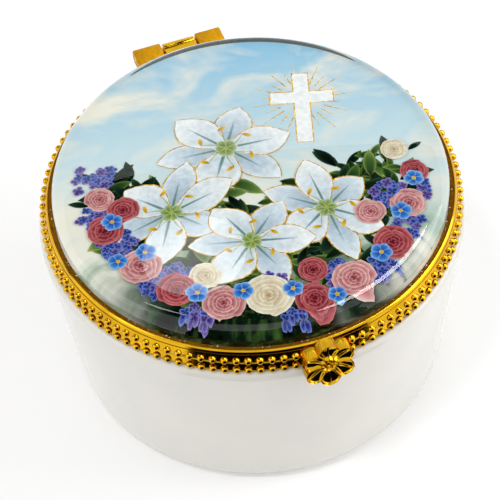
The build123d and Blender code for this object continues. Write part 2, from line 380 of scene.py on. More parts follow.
def bisque():
    """Bare fired porcelain on the foot ring: dry, matt and a little warm."""
    settings = bpy.context.scene.rosary_porcelain
    material, tree = new_material("bare_porcelain")
    place = add_node(tree, "ShaderNodeTexCoord").outputs["Object"]
    # Grains of about 0.3 mm.
    grain = add_node(tree, "ShaderNodeTexNoise", {"Scale": 1 / (0.3 * MM), "Detail": 2.0}, Vector=place)
    body = linear(settings.bisque_colour)
    shades = [(0.3, mix(body, linear("#B8AE9C"), 0.5)), (0.7, body)]
    tint = add_node(tree, "ShaderNodeValToRGB", {"stops": shades}, Fac=grain.outputs["Fac"])
    bump = add_node(
        tree, "ShaderNodeBump", {"Strength": 0.3, "Distance": 0.04 * MM}, Height=grain.outputs["Fac"]
    )
    shader = add_node(
        tree,
        "ShaderNodeBsdfPrincipled",
        {"Roughness": 0.85},
        Base_Color=tint.outputs["Color"],
        Normal=bump.outputs["Normal"],
    )
    add_node(tree, "ShaderNodeOutputMaterial", Surface=shader.outputs["BSDF"])
    return material


def gilding(name, colour, stain, patch_mm, roughness, rougher, grain_mm, bump_strength):
    """Gilt brass, made once and then shared: its stain browns it in patches, and its grain breaks up its
    reflections."""
    made = bpy.data.materials.get(name)
    if made:
        return made
    material, tree = new_material(name)
    place = add_node(tree, "ShaderNodeTexCoord").outputs["Object"]
    grain = add_node(
        tree, "ShaderNodeTexNoise", {"Scale": 1 / (grain_mm * MM), "Detail": 2.0}, Vector=place
    )
    patch = add_node(
        tree, "ShaderNodeTexNoise", {"Scale": 1 / (patch_mm * MM), "Detail": 2.0}, Vector=place
    )
    base = linear(colour)
    shades = [(0.35, mix(base, linear("#8E5A0A"), stain)), (0.65, base)]
    tint = add_node(tree, "ShaderNodeValToRGB", {"stops": shades}, Fac=patch.outputs["Fac"])
    gloss = add_node(
        tree, "ShaderNodeMapRange", {"To Min": roughness, "To Max": rougher}, Value=grain.outputs["Fac"]
    )
    bump = add_node(
        tree,
        "ShaderNodeBump",
        {"Strength": bump_strength, "Distance": 0.02 * MM},
        Height=grain.outputs["Fac"],
    )
    shader = add_node(
        tree,
        "ShaderNodeBsdfPrincipled",
        {"Metallic": 1.0},
        Base_Color=tint.outputs["Color"],
        Roughness=gloss.outputs["Result"],
        Normal=bump.outputs["Normal"],
    )
    add_node(tree, "ShaderNodeOutputMaterial", Surface=shader.outputs["BSDF"])
    return material


def polished_gilt():
    """Electroplated brass, polished: mirror-like, a strong yellow where it shows bright things.

    Patches of about 5 mm are a little browner, and its waves are about 0.8 mm long.
    """
    return gilding(
        "polished_gilt_brass",
        bpy.context.scene.rosary_gilt.gilt_colour,
        stain=0.3,
        patch_mm=5,
        roughness=0.05,
        rougher=0.18,
        grain_mm=0.8,
        bump_strength=0.15,
    )


def satin_gilt():
    """Rolled gilt brass, left unpolished: an even, deeper gold with a sandy grain of about 0.3 mm."""
    return gilding(
        "satin_gilt_brass",
        bpy.context.scene.rosary_gilt.satin_colour,
        stain=0.32,
        patch_mm=0.7,
        roughness=0.4,
        rougher=0.58,
        grain_mm=0.3,
        bump_strength=0.9,
    )


def painted_shade_gilt():
    """Gilt brass in the grooves, the channel and the turned line, brown and half dull: painted shade where
    those recesses fall into shadow.

    Patches of about 1.5 mm are browner still, with a grain of about 0.5 mm.
    """
    return gilding(
        "gilt_brass_painted_shade",
        bpy.context.scene.rosary_gilt.recess_shade_colour,
        stain=0.5,
        patch_mm=1.5,
        roughness=0.2,
        rougher=0.4,
        grain_mm=0.5,
        bump_strength=0.3,
    )


def plain_coat(name, colour, roughness):
    """One even colour under a smooth skin."""
    material, tree = new_material(name)
    shader = add_node(
        tree, "ShaderNodeBsdfPrincipled", {"Base Color": linear(colour), "Roughness": roughness}
    )
    add_node(tree, "ShaderNodeOutputMaterial", Surface=shader.outputs["BSDF"])
    return material


def glint_specks():
    """Small white specks along the glass, nearly matt: painted highlights for the glints at the glass's
    edge.
    """
    return plain_coat("white_specks_painted_glints", "#F4F1E8", 0.5)


def dark_edge_ring():
    """A thin dark grey-green ring round the picture's edge under the glass, with a soft shine."""
    return plain_coat("dark_picture_edge", "#39433C", 0.35)


def dome_glass():
    """Pressed clear glass, fire-polished: it bends what lies under it and carries crisp highlights.

    Lamps shine through it, so that the picture is lit as through a real dome.
    """
    settings = bpy.context.scene.rosary_dome
    material, tree = new_material("clear_dome_glass")
    glass = add_node(
        tree,
        "ShaderNodeBsdfPrincipled",
        {
            "Base Color": linear("#FBFFFE"),
            "Roughness": 0.0,
            "IOR": settings.index,
            "Transmission Weight": 1.0,
        },
    )
    clear = add_node(tree, "ShaderNodeBsdfTransparent", {"Color": linear("#FBFFFE")})
    path = add_node(tree, "ShaderNodeLightPath")
    lamp = add_node(
        tree,
        "ShaderNodeMath",
        {"operation": "MAXIMUM"},
        i0=path.outputs["Is Shadow Ray"],
        i1=path.outputs["Is Diffuse Ray"],
    )
    both = add_node(
        tree,
        "ShaderNodeMixShader",
        i0=lamp.outputs["Value"],
        i1=glass.outputs["BSDF"],
        i2=clear.outputs["BSDF"],
    )
    add_node(tree, "ShaderNodeOutputMaterial", Surface=both.outputs["Shader"])
    return material


def printed_sky():
    """Printed paper, bonded to the glass so that it has no gloss of its own: a pale blue sky with cream
    clouds over a dark green ground."""
    material, tree = new_material("printed_sky_paper")
    place = add_node(tree, "ShaderNodeTexCoord").outputs["Object"]
    turn = bpy.context.scene.rosary_picture.turn
    upright = add_node(tree, "ShaderNodeMapping", {"Rotation": (0.0, 0.0, -turn)}, Vector=place)
    drift = add_node(
        tree, "ShaderNodeMapping", {"Scale": (1.0, 1.7, 1.0)}, Vector=upright.outputs["Vector"]
    )
    # Clouds about 16 mm across.
    cloud = add_node(
        tree,
        "ShaderNodeTexNoise",
        {"Scale": 1 / (16 * MM), "Detail": 5.0, "Roughness": 0.55, "Distortion": 0.4},
        Vector=drift.outputs["Vector"],
    )
    # Brushed leafage about 2 mm across.
    leafage = add_node(
        tree,
        "ShaderNodeTexNoise",
        {"Scale": 1 / (2 * MM), "Detail": 4.0, "Roughness": 0.65},
        Vector=upright.outputs["Vector"],
    )
    split = add_node(tree, "ShaderNodeSeparateXYZ", Vector=upright.outputs["Vector"])
    # The ground's upper edge wavers with the clouds, by up to 24 mm.
    waver = add_node(
        tree,
        "ShaderNodeMath",
        {"operation": "MULTIPLY_ADD", 1: 24 * MM},
        i0=cloud.outputs["Fac"],
        i2=split.outputs["Y"],
    )
    height = add_node(
        tree,
        "ShaderNodeMapRange",
        {"From Min": -20 * MM, "From Max": 44 * MM},
        Value=waver.outputs["Value"],
    )
    shades = [
        (0.0, linear("#2C4C38")),
        (0.26, linear("#A3BDA4")),
        (0.46, linear("#DCEBEC")),
        (1.0, linear("#86C4E8")),
    ]
    sky = add_node(tree, "ShaderNodeValToRGB", {"stops": shades}, Fac=height.outputs["Result"])
    shares = [(0.44, (0, 0, 0, 1)), (0.64, (1, 1, 1, 1))]
    cover = add_node(tree, "ShaderNodeValToRGB", {"stops": shares}, Fac=cloud.outputs["Fac"])
    clouded = add_node(
        tree,
        "ShaderNodeMix",
        {"data_type": "RGBA", 7: linear("#F7F2E4")},
        i0=cover.outputs["Color"],
        i6=sky.outputs["Color"],
    )
    shades = [(0.35, linear("#020503")), (0.52, linear("#0B1C10")), (0.7, linear("#3E5A28"))]
    green = add_node(tree, "ShaderNodeValToRGB", {"stops": shades}, Fac=leafage.outputs["Fac"])
    shares = [(0.06, (1, 1, 1, 1)), (0.3, (0, 0, 0, 1))]
    ground = add_node(tree, "ShaderNodeValToRGB", {"stops": shares}, Fac=height.outputs["Result"])
    whole = add_node(
        tree,
        "ShaderNodeMix",
        {"data_type": "RGBA"},
        i0=ground.outputs["Color"],
        i6=clouded.outputs[2],
        i7=green.outputs["Color"],
    )
    shader = add_node(
        tree,
        "ShaderNodeBsdfPrincipled",
        {"Roughness": 0.45, "Specular IOR Level": 0.0},
        Base_Color=whole.outputs[2],
    )
    add_node(tree, "ShaderNodeOutputMaterial", Surface=shader.outputs["BSDF"])
    return material


def printed_ink():
    """Offset print, bonded to the glass: colours laid down by the shapes, mottled as ink and brush leave
    them."""
    material, tree = new_material("printed_flower_ink")
    place = add_node(tree, "ShaderNodeTexCoord").outputs["Object"]
    ink = add_node(tree, "ShaderNodeAttribute", {"attribute_name": "ink"})
    # Brush marks about 1 mm across.
    mottle = add_node(
        tree,
        "ShaderNodeTexNoise",
        {"Scale": 1 / (1.0 * MM), "Detail": 3.0, "Roughness": 0.6},
        Vector=place,
    )
    tone = add_node(
        tree,
        "ShaderNodeMapRange",
        {"From Min": 0.3, "From Max": 0.7, "To Min": 0.84, "To Max": 1.08},
        Value=mottle.outputs["Fac"],
    )
    toned = add_node(
        tree,
        "ShaderNodeVectorMath",
        {"operation": "SCALE"},
        i0=ink.outputs["Color"],
        Scale=tone.outputs["Result"],
    )
    shader = add_node(
        tree,
        "ShaderNodeBsdfPrincipled",
        {"Roughness": 0.45, "Specular IOR Level": 0.0},
        Base_Color=toned.outputs["Vector"],
    )
    add_node(tree, "ShaderNodeOutputMaterial", Surface=shader.outputs["BSDF"])
    return material


def gold_ink():
    """Foil-like gold ink: a thin metal line that glints and darkens with its grain."""
    material, tree = new_material("printed_gold_ink")
    place = add_node(tree, "ShaderNodeTexCoord").outputs["Object"]
    # Flakes of about 0.5 mm.
    flake = add_node(tree, "ShaderNodeTexNoise", {"Scale": 1 / (0.5 * MM), "Detail": 2.0}, Vector=place)
    shades = [(0.35, linear("#7C5A1C")), (0.65, linear("#C69C3C"))]
    tint = add_node(tree, "ShaderNodeValToRGB", {"stops": shades}, Fac=flake.outputs["Fac"])
    shader = add_node(
        tree,
        "ShaderNodeBsdfPrincipled",
        {"Metallic": 1.0, "Roughness": 0.4},
        Base_Color=tint.outputs["Color"],
    )
    add_node(tree, "ShaderNodeOutputMaterial", Surface=shader.outputs["BSDF"])
    return material


# ---- pieces ------------------------------------------------------------------------------------------
class PieceOperator(bpy.types.Operator):
    """Shared by the operators that build pieces."""

    bl_options = {"REGISTER", "UNDO"}


class ROSARY_OT_cup(PieceOperator):
    """Builds the porcelain cup with its rounded shoulder and foot ring."""

    bl_idname = "rosary.cup"
    bl_label = "Porcelain Cup"

    def execute(self, context):
        s = context.scene.rosary_porcelain
        mouth, foot = s.mouth_radius / MM, s.foot_radius / MM
        inner_mouth = mouth - s.wall / MM
        floor_z = s.floor / MM
        inner_floor = inner_mouth - (mouth - foot) * (CUP_TOP - floor_z) / CUP_TOP
        ring, recess = s.foot_ring_inner / MM, s.foot_recess / MM
        outline = rounded(
            [
                (0, recess, 0),
                (ring - recess, recess, 0.4),
                (ring, 0, 0.3),
                (foot, 0, s.foot_rounding / MM),
                (mouth, CUP_TOP, s.shoulder_rounding / MM),
                (inner_mouth, CUP_TOP, 0.5),
                (inner_floor, floor_z, s.floor_rounding / MM),
                (0, floor_z, 0),
            ],
            steps=12,
        )
        cup = piece(
            "porcelain_cup", *lathe(outline, 288), glazed_porcelain(), "base", "glazed_porcelain", ["cup"]
        )
        cup.data.materials.append(bisque())
        contact = foot - s.foot_rounding / MM
        for face in cup.data.polygons:
            across, up = math.hypot(face.center.x, face.center.y) / MM, face.center.z / MM
            if up < 0.05 and ring - 0.2 < across < contact:
                face.material_index = 1
        return {"FINISHED"}


class ROSARY_OT_rims(PieceOperator):
    """Builds the gilt band on the cup and the bezel of the lid."""

    bl_idname = "rosary.rims"
    bl_label = "Gilt Rims"

    def execute(self, context):
        s = context.scene.rosary_gilt
        self.base_band(s)
        self.lid_bezel(s)
        return {"FINISHED"}

    def base_band(self, s):
        """The band on the cup's mouth, with the skirt that reaches inside the cup."""
        edge, web = s.edge_rounding / MM, s.web_height / MM
        skirt_in, skirt_out, skirt_foot = 31.14, 31.94, foot_of("base_rim")
        rim = BASE_RIM_RADIUS - 0.1
        outline = rounded(
            [
                (skirt_in, skirt_foot, edge),
                (skirt_out, skirt_foot, edge),
                (skirt_out, CUP_TOP, 0),
                (rim, CUP_TOP, edge),
                (rim, CUP_TOP + web, edge),
                (rim - s.wall_inset / MM, PARTING, edge),
                (skirt_in, PARTING, edge),
            ],
            steps=5,
        )
        piece("base_band", *lathe(outline), polished_gilt(), "base", "gilt_brass", ["base_rim"])

    def lid_bezel(self, s):
        """The bezel: a shelf under the glass, a channel and a lip round it, a wall and the pearls' web."""
        edge, web, lip = s.edge_rounding / MM, s.web_height / MM, s.lip_width / MM
        rim, bore = LID_RIM_RADIUS - 0.02, DOME_RADIUS + 0.1
        shelf_in, shelf_top = 30.85, foot_of("backing_plate")
        channel, channel_slope = LID_TOP - 0.2, 0.1
        wall, lip_foot, lip_rounding = rim - s.lid_inset / MM, LID_TOP - 0.25, 0.08
        web_foot = LID_FOOT + 0.5
        # The groove between the rims, behind the web.
        groove_in, groove_out, groove_top, groove_rounding = rim - 0.9, rim - 0.7, web_foot - 0.1, 0.05
        web_chamfer = 0.12
        # A line turned into the wall under the lip.
        line_foot, line_top, line_depth = LID_TOP - 0.72, LID_TOP - 0.58, 0.12
        lean = (rim - wall) / (lip_foot - web_foot - web)
        line_radius = wall + lean * (lip_foot - line_top)
        outline = rounded(
            [
                (shelf_in, LID_FOOT, edge),
                (groove_in, LID_FOOT, groove_rounding),
                (groove_out, groove_top, groove_rounding),
                (rim - web_chamfer, groove_top, groove_rounding),
                (rim, web_foot, edge),
                (rim, web_foot + web, edge),
                (line_radius + lean * (line_top - line_foot), line_foot, 0),
                (line_radius - line_depth, (line_foot + line_top) / 2, 0),
                (line_radius, line_top, 0),
                (wall, lip_foot, lip_rounding),
                (wall - lip, LID_TOP, lip_rounding),
                (wall - lip - channel_slope, channel, 0.03),
                (bore, channel, 0.03),
                (bore, shelf_top, 0),
                (shelf_in, shelf_top, edge),
            ],
            steps=6,
        )
        points, faces = lathe(outline)
        turned = len(faces)
        self.add_flecks(points, faces, s.flecks, bore, channel)
        lid = piece("lid_bezel", points, faces, polished_gilt(), "lid", "gilt_brass", ["lid_rim"])
        lid.data.materials.append(painted_shade_gilt())
        lid.data.materials.append(glint_specks())
        for face in lid.data.polygons:
            across, up = math.hypot(face.center.x, face.center.y) / MM, face.center.z / MM
            # Painted shade: the channel, the groove and the turned line take the darker, browner gilt.
            in_channel = bore - 0.01 < across < wall - lip and up > channel - 0.05
            in_groove = across > groove_in - 0.05 and up < groove_top + 0.05
            in_line = across > wall - lip and line_foot < up < line_top
            # The white specks, painted highlights, take the third material.
            if face.index >= turned:
                face.material_index = 2
            elif in_channel or in_groove or in_line:
                face.material_index = 1

    def add_flecks(self, points, faces, count, bore, channel):
        """White specks on the channel's floor, painted highlights, each a low six-sided heap."""
        chance = random.Random(3)
        # The corners are a sixth of a turn apart, in radians.
        sides, corner = 6, 1.047
        for _ in range(count):
            turn, out = chance.uniform(*ANY_TURN), bore + chance.uniform(0.06, 0.3)
            size = chance.uniform(0.04, 0.13)
            middle = Vector((out * math.cos(turn), out * math.sin(turn), channel))
            start = len(points)
            points.append(middle + Vector((0, 0, size / 2)))
            for k in range(sides):
                reach = size * chance.uniform(0.6, 1.3)
                points.append(
                    middle + Vector((reach * math.cos(k * corner), reach * math.sin(k * corner), -0.01))
                )
            faces += fan_faces(start, start + 1, sides)


def pearl_row(name, row_radius, z, body, replaced, behind_clasp, at_hinge):
    """A row of round pearls on both sides, left out behind the clasp and at the hinge."""
    s = bpy.context.scene.rosary_gilt
    pitch = 2 * math.pi / s.pearl_count
    each_side = s.pearl_count // 2 - behind_clasp - at_hinge
    points, faces = [], []
    for side in (1, -1):
        for k in range(each_side):
            turn = side * (behind_clasp + 0.5 + k) * pitch
            out = Vector((math.sin(turn), -math.cos(turn), 0.0))
            across = Vector((math.cos(turn), math.sin(turn), 0.0))
            centre = out * row_radius + Vector((0, 0, z))
            axes = (out, across, Vector((0, 0, 1)))
            ball(points, faces, centre, axes, s.pearl_radius / MM, rows=8, around=16, reach=0.6)
    piece(name, points, faces, polished_gilt(), body, "gilt_brass", replaced, crease=70.0)


class ROSARY_OT_pearls(PieceOperator):
    """Builds the two rows of pearls."""

    bl_idname = "rosary.pearls"
    bl_label = "Pearls"

    def execute(self, context):
        base_row, lid_row = BASE_RIM_RADIUS - 0.16, LID_RIM_RADIUS - 0.1
        base_z, lid_z = CUP_TOP + 0.58, LID_FOOT + 1.02
        pearl_row("base_pearls", base_row, base_z, "base", ["base_beading"], behind_clasp=2, at_hinge=5)
        pearl_row("lid_pearls", lid_row, lid_z, "lid", ["lid_beading"], behind_clasp=2, at_hinge=2)
        return {"FINISHED"}


def plate(name, outlines, node, bevel, material, body):
    """A plate that stands for a node and has its length in X, cut to outlines in the YZ plane: the first
    one solid and the rest holes."""
    low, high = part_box(node)
    start, end = low.x / MM, high.x / MM
    curve = bpy.data.curves.new(name + "_cut", "CURVE")
    curve.dimensions = "2D"
    curve.fill_mode = "BOTH"
    curve.bevel_depth = bevel * MM
    curve.bevel_resolution = 2
    curve.offset = -bevel * MM
    curve.extrude = ((end - start) / 2 - bevel) * MM
    for outline in outlines:
        spline = curve.splines.new("POLY")
        spline.points.add(len(outline) - 1)
        for point, (y, z) in zip(spline.points, outline):
            point.co = (y * MM, z * MM, 0.0, 1.0)
        spline.use_cyclic_u = True
    holder = bpy.data.objects.new(name + "_cut", curve)
    bpy.context.scene.collection.objects.link(holder)
    bpy.context.view_layer.update()
    mesh = bpy.data.meshes.new_from_object(holder.evaluated_get(bpy.context.evaluated_depsgraph_get()))
    bpy.data.objects.remove(holder)
    bpy.data.curves.remove(curve)
    # The curve's plane is turned so that it looks along X.
    stand = Matrix(((0, 0, 1, (start + end) / 2 * MM), (1, 0, 0, 0), (0, 1, 0, 0), (0, 0, 0, 1)))
    mesh.transform(stand)
    mesh.name = name
    mesh.polygons.foreach_set("use_smooth", [True] * len(mesh.polygons))
    mesh.set_sharp_from_angle(angle=math.radians(35))
    mesh.materials.clear()
    mesh.materials.append(material)
    obj = bpy.data.objects.new(name, mesh)
    bpy.context.scene.collection.objects.link(obj)
    settle(obj, body, "gilt_brass", [node])


def circle(y, z, radius, start=0.0, end=360.0, steps=32):
    """Points on a circle or an arc in the YZ plane. An arc has both its ends."""
    count = steps if end - start == 360 else steps + 1
    turns = [math.radians(start + (end - start) * k / steps) for k in range(count)]
    return [(y + radius * math.cos(turn), z + radius * math.sin(turn)) for turn in turns]


class ROSARY_OT_hinge(PieceOperator):
    """Builds the hinge's two satin blocks, polished barrel and pin, and the catch in front."""

    bl_idname = "rosary.hinge"
    bl_label = "Hinge and Catch"

    def execute(self, context):
        s = context.scene.rosary_gilt
        radius, edge = s.knuckle_radius / MM, s.edge_rounding / MM
        satin, gilt = satin_gilt(), polished_gilt()
        pin_radius = (top_of("hinge_pin") - foot_of("hinge_pin")) / 2
        wall = BASE_RIM_RADIUS - s.wall_inset / MM
        leaf_foot, leaf_top = CUP_TOP + 0.1, PARTING - 0.1
        block_front = PIN_Y - 3.0
        block = rounded(
            [
                (wall, leaf_foot, 0),
                (PIN_Y - 0.9 * radius, leaf_foot, 0.15),
                (PIN_Y - 0.75 * radius, PIN_Z - radius, 0.5),
                (PIN_Y + radius, PIN_Z - radius, 1.1),
                (PIN_Y + radius, PIN_Z + radius, 0.7),
                (block_front, PIN_Z + radius, 0.35),
                (block_front, leaf_top, 0),
                (wall, leaf_top, 0),
            ],
            steps=6,
        )
        pressed, running = (circle(PIN_Y, PIN_Z, pin_radius + gap) for gap in (0.02, 0.05))
        for node in ("hinge_knuckle_left", "hinge_knuckle_right"):
            plate(node + "_block", [block, pressed], node, 2 * edge, satin, "base")
        # The barrel's arc starts and ends on its lug, which reaches forward to the lid's wall.
        lug_foot, lug_top = LID_FOOT + 0.05, LID_FOOT + 0.5
        lug_front, lug_end = LID_RIM_RADIUS - s.wall_inset / MM, PIN_Y - 1.5 * radius
        barrel = [
            (lug_front, lug_foot),
            (lug_end, lug_foot),
            *circle(PIN_Y, PIN_Z, radius, 170, 470, 56),
            (lug_end, lug_top),
            (lug_front, lug_top),
        ]
        plate("hinge_barrel_polished", [barrel, running], "hinge_barrel", 1.5 * edge, gilt, "lid")
        plate("hinge_pin_rod", [circle(PIN_Y, PIN_Z, pin_radius)], "hinge_pin", 0.1, gilt, "base")

        root, face = -BASE_RIM_RADIUS + 0.6, -BASE_RIM_RADIUS - 0.3
        nub_foot, nub_top = foot_of("catch"), top_of("catch")
        nub = rounded(
            [(root, nub_foot, 0), (face, nub_foot, 0.15), (face, nub_top, 0.25), (root, nub_top, 0)],
            steps=4,
        )
        plate("catch_nub", [nub], "catch", 0.1, gilt, "base")
        return {"FINISHED"}


class ROSARY_OT_lid_insert(PieceOperator):
    """Builds the backing sheet, the picture's paper and the glass dome."""

    bl_idname = "rosary.lid_insert"
    bl_label = "Lid Insert"

    def execute(self, context):
        sheet_foot, sheet_top = foot_of("backing_plate"), top_of("backing_plate")
        outline = rounded(
            [
                (0, sheet_foot, 0),
                (DOME_RADIUS, sheet_foot, 0.1),
                (DOME_RADIUS, sheet_top, 0),
                (0, sheet_top, 0),
            ]
        )
        piece("backing_sheet", *lathe(outline, 192), satin_gilt(), "lid", "gilt_sheet", ["backing_plate"])

        inside = DOME_RADIUS - context.scene.rosary_picture.border / MM
        outline = [
            (0, sheet_top),
            (DOME_RADIUS, sheet_top),
            (DOME_RADIUS, DOME_FOOT),
            (inside, DOME_FOOT),
            (0, DOME_FOOT),
        ]
        paper = piece(
            "picture_paper", *lathe(outline, 192), printed_sky(), "lid", "printed_paper", ["picture_disc"]
        )
        # The paper's outer ring takes the dark grey-green.
        paper.data.materials.append(dark_edge_ring())
        for face in paper.data.polygons:
            if math.hypot(face.center.x, face.center.y) > inside * MM:
                face.material_index = 1
        self.dome(context.scene.rosary_dome)
        return {"FINISHED"}

    def dome(self, s):
        """The glass: an upright edge, a round shoulder and a shallow crown that meet without a ridge."""
        rounding, crown, steps = s.shoulder_rounding / MM, s.crown_radius / MM, 24
        # The glass is bonded to the picture: its underside lies just inside the paper.
        foot = DOME_FOOT - 0.03
        edge_x, edge_z = DOME_RADIUS - rounding, DOME_FOOT + s.wall_height / MM
        crown_z = edge_z - math.sqrt((crown - rounding) ** 2 - edge_x**2)
        meet = math.acos(edge_x / (crown - rounding))
        turns = [meet * k / steps for k in range(steps + 1)]
        shoulder = [
            (edge_x + rounding * math.cos(turn), edge_z + rounding * math.sin(turn)) for turn in turns
        ]
        turns = [meet + (math.pi / 2 - meet) * k / steps for k in range(1, steps)]
        cap = [(crown * math.cos(turn), crown_z + crown * math.sin(turn)) for turn in turns]
        outline = [(0, foot), (DOME_RADIUS, foot), *shoulder, *cap, (0, crown_z + crown)]
        piece("glass_dome", *lathe(outline, 288), dome_glass(), "lid", "clear_glass", ["dome"], crease=30.0)


class Print:
    """Flat shapes in ink, each laid a hair above the last. Places are in millimetres, and +Y is up."""

    # How far each level lies above the last, in millimetres.
    RISE = 0.0006

    def __init__(self, foot, settings):
        self.points, self.faces, self.colours, self.gilt_faces = [], [], [], set()
        self.base, self.levels, self.laid = foot, 0, 0
        self.turn, self.line = settings.turn, settings.outline / MM
        self.chance = random.Random(settings.seed)

    def layer(self, levels):
        """Begins a layer over all that's laid. Its shapes take a number of levels in turn."""
        self.base += self.RISE * (self.levels + 1)
        self.levels, self.laid = levels, 0

    def sheet(self, place, ink, across=6, along=8, gilt=False):
        """Lays a grid whose points and colours are functions of two shares from 0 to 1."""
        height = self.base + self.RISE * (self.laid % self.levels)
        self.laid += 1
        start, cos, sin = len(self.points), math.cos(self.turn), math.sin(self.turn)
        for row in range(along + 1):
            for column in range(across + 1):
                x, y = place(column / across, row / along)
                self.points.append((x * cos - y * sin, x * sin + y * cos, height))
                self.colours.append(ink(column / across, row / along))
        for row in range(along):
            for column in range(across):
                corner = start + row * (across + 1) + column
                if gilt:
                    self.gilt_faces.add(len(self.faces))
                self.faces.append((corner, corner + 1, corner + across + 2, corner + across + 1))

    def petal(
        self,
        root,
        way,
        long,
        broad,
        inks,
        widest=0.62,
        blunt=0.5,
        bend=0.0,
        view=(1.0, 0.0),
        lined=False,
        grid=(6, 8),
    ):
        """A petal that leaves its root in a way (0 is up, clockwise), inked from root to tip and rim."""
        power = math.log(0.5) / math.log(widest)
        inner, outer, rim = inks
        squash, lean = view
        across, along = Vector((math.cos(way), -math.sin(way))), Vector((math.sin(way), math.cos(way)))
        squashed = Vector((math.cos(lean), math.sin(lean)))

        def spot(side, share, extra=0.0):
            swell = max(0.02, math.sin(math.pi * min(share, 0.999) ** power) ** blunt)
            aside = side * (broad / 2 * swell + extra) + bend * long * share**2
            step = across * aside + along * (long * share)
            return Vector(root) + step - squashed * (step.dot(squashed) * (1 - squash))

        def ink(side, share):
            edge = abs(2 * side - 1)
            body = mix(inner, outer, share**0.9)
            return mix(body, rim, min(1.0, 0.5 * edge**6 + 0.9 * share**7))

        self.sheet(lambda side, share: spot(2 * side - 1, share), ink, *grid)
        if lined:
            for side in (-1, 1):
                start = 0 if side > 0 else 1
                self.sheet(
                    lambda out, share: spot(side, share, side * (out - start) * self.line),
                    lambda *_: inner,
                    across=1,
                    along=16,
                    gilt=True,
                )

    def flower(self, middle, radius, rings, inks, **form):
        """Rings of petals, each (reach, count, breadth), from the outermost one in."""
        for reach, count, breadth in rings:
            start = self.chance.uniform(*ANY_TURN)
            for k in range(count):
                way = start + 2 * math.pi * k / count + self.chance.uniform(-0.12, 0.12)
                size = radius * reach * self.chance.uniform(0.92, 1.08)
                shade = self.chance.uniform(0, 0.35)
                inner, outer, rim = inks
                toned = (inner, mix(outer, inner, shade), mix(rim, outer, shade))
                self.petal(middle, way, size, size * breadth, toned, **form)

    def stroke(self, start, end, width, ink, gilt=False, bend=0.0):
        """A line that thins towards its end."""
        start, end = Vector(start), Vector(end)
        side = Vector(((end - start).y, -(end - start).x)).normalized()

        def place(across, share):
            half = width / 2 * (1 - 0.7 * share)
            curve = side * (bend * (end - start).length * 4 * share * (1 - share))
            return start.lerp(end, share) + curve + side * half * (2 * across - 1)

        self.sheet(place, lambda *_: ink, across=1, along=10, gilt=gilt)


def inks(*names):
    """Hex values as linear colours."""
    return tuple(linear(name) for name in names)


ROSE = ((1.0, 6, 1.25), (0.8, 5, 1.2), (0.6, 5, 1.2), (0.4, 4, 1.2), (0.22, 3, 1.2))
PINK = inks("#5A0A1C", "#D86A78", "#FCE0D4")
RED = inks("#30040C", "#9A1830", "#EE8E8E")
CREAM = inks("#A87C48", "#F3E2BE", "#FFFBEE")
BLUE = inks("#0C1450", "#3348B8", "#A0B4F6")
VIOLET = inks("#201250", "#6C56B4", "#BFB0EC")
BRIGHT = inks("#0F3F9E", "#3E90EE", "#BFE6FF")
GREENS = (
    inks("#050C07", "#183020", "#3F6238"),
    inks("#0A160A", "#2A4C24", "#72903E"),
    inks("#030705", "#0E1E16", "#2A4632"),
    inks("#16281A", "#4C7434", "#A6B65E"),
)
WHITE = inks("#C4D6E4", "#FDFEFF", "#FFFFFF")
SHADED = inks("#98B2C8", "#E4EEF6", "#FCFDFE")
YOLK = inks("#C07E14", "#F0C22E", "#FFE98A")

# Where the flowers stand on the page, in millimetres. The roses: place, radius and inks.
ROSES = (
    (-25.6, -9.0, 3.0, RED), (-19.6, -17.2, 3.4, PINK), (-13.5, -23.0, 3.2, RED), (-5.8, -26.4, 3.3, PINK),
    (9.6, -26.6, 3.0, RED), (16.4, -22.8, 3.4, PINK), (23.6, -15.6, 3.2, RED), (27.2, -7.2, 2.9, PINK),
    (1.8, -25.4, 3.9, CREAM), (-26.4, -1.8, 2.4, PINK), (28.8, 0.2, 2.3, RED), (-22.4, -4.6, 2.6, RED),
    (20.4, -8.6, 2.5, PINK), (25.8, 5.4, 2.2, CREAM), (-8.6, -20.4, 2.6, CREAM), (9.6, -20.6, 2.5, RED),
)
# The sprays of small flowers: place and spread.
SPRAYS = (
    (-28.3, 2.8, 2.6), (-22.3, -11.6, 3.4), (-16.0, -19.6, 2.6), (-9.8, -27.2, 2.6), (5.6, -28.6, 2.2),
    (20.2, -20.2, 3.0), (25.2, -11.2, 3.2), (29.2, -3.6, 2.4), (12.8, -20.0, 2.4), (-25.2, -5.4, 2.6),
    (22.6, -4.6, 2.8), (-12.6, -18.6, 2.4), (2.6, -21.4, 2.2), (-24.2, 3.4, 2.2),
)
# The bright five-petalled flowers: place.
STARS = (
    (-21.8, -14.8), (-22.6, -6.6), (-9.4, -22.2), (-2.2, -22.4), (5.6, -22.6), (12.4, -24.2), (20.0, -16.4),
    (23.8, -8.2), (26.6, -1.4), (-17.4, -13.4),
)
# The lilies: place, radius, turn and view.
LILIES = (
    (-3.6, 7.4, 12.2, 0.25, (0.8, 1.4)),
    (12.0, -6.6, 11.6, 0.8, (0.78, 0.5)),
    (-13.0, -5.6, 11.8, 0.1, (0.78, 2.3)),
    (-0.4, -12.6, 11.0, 0.5, (0.84, 1.5)),
)


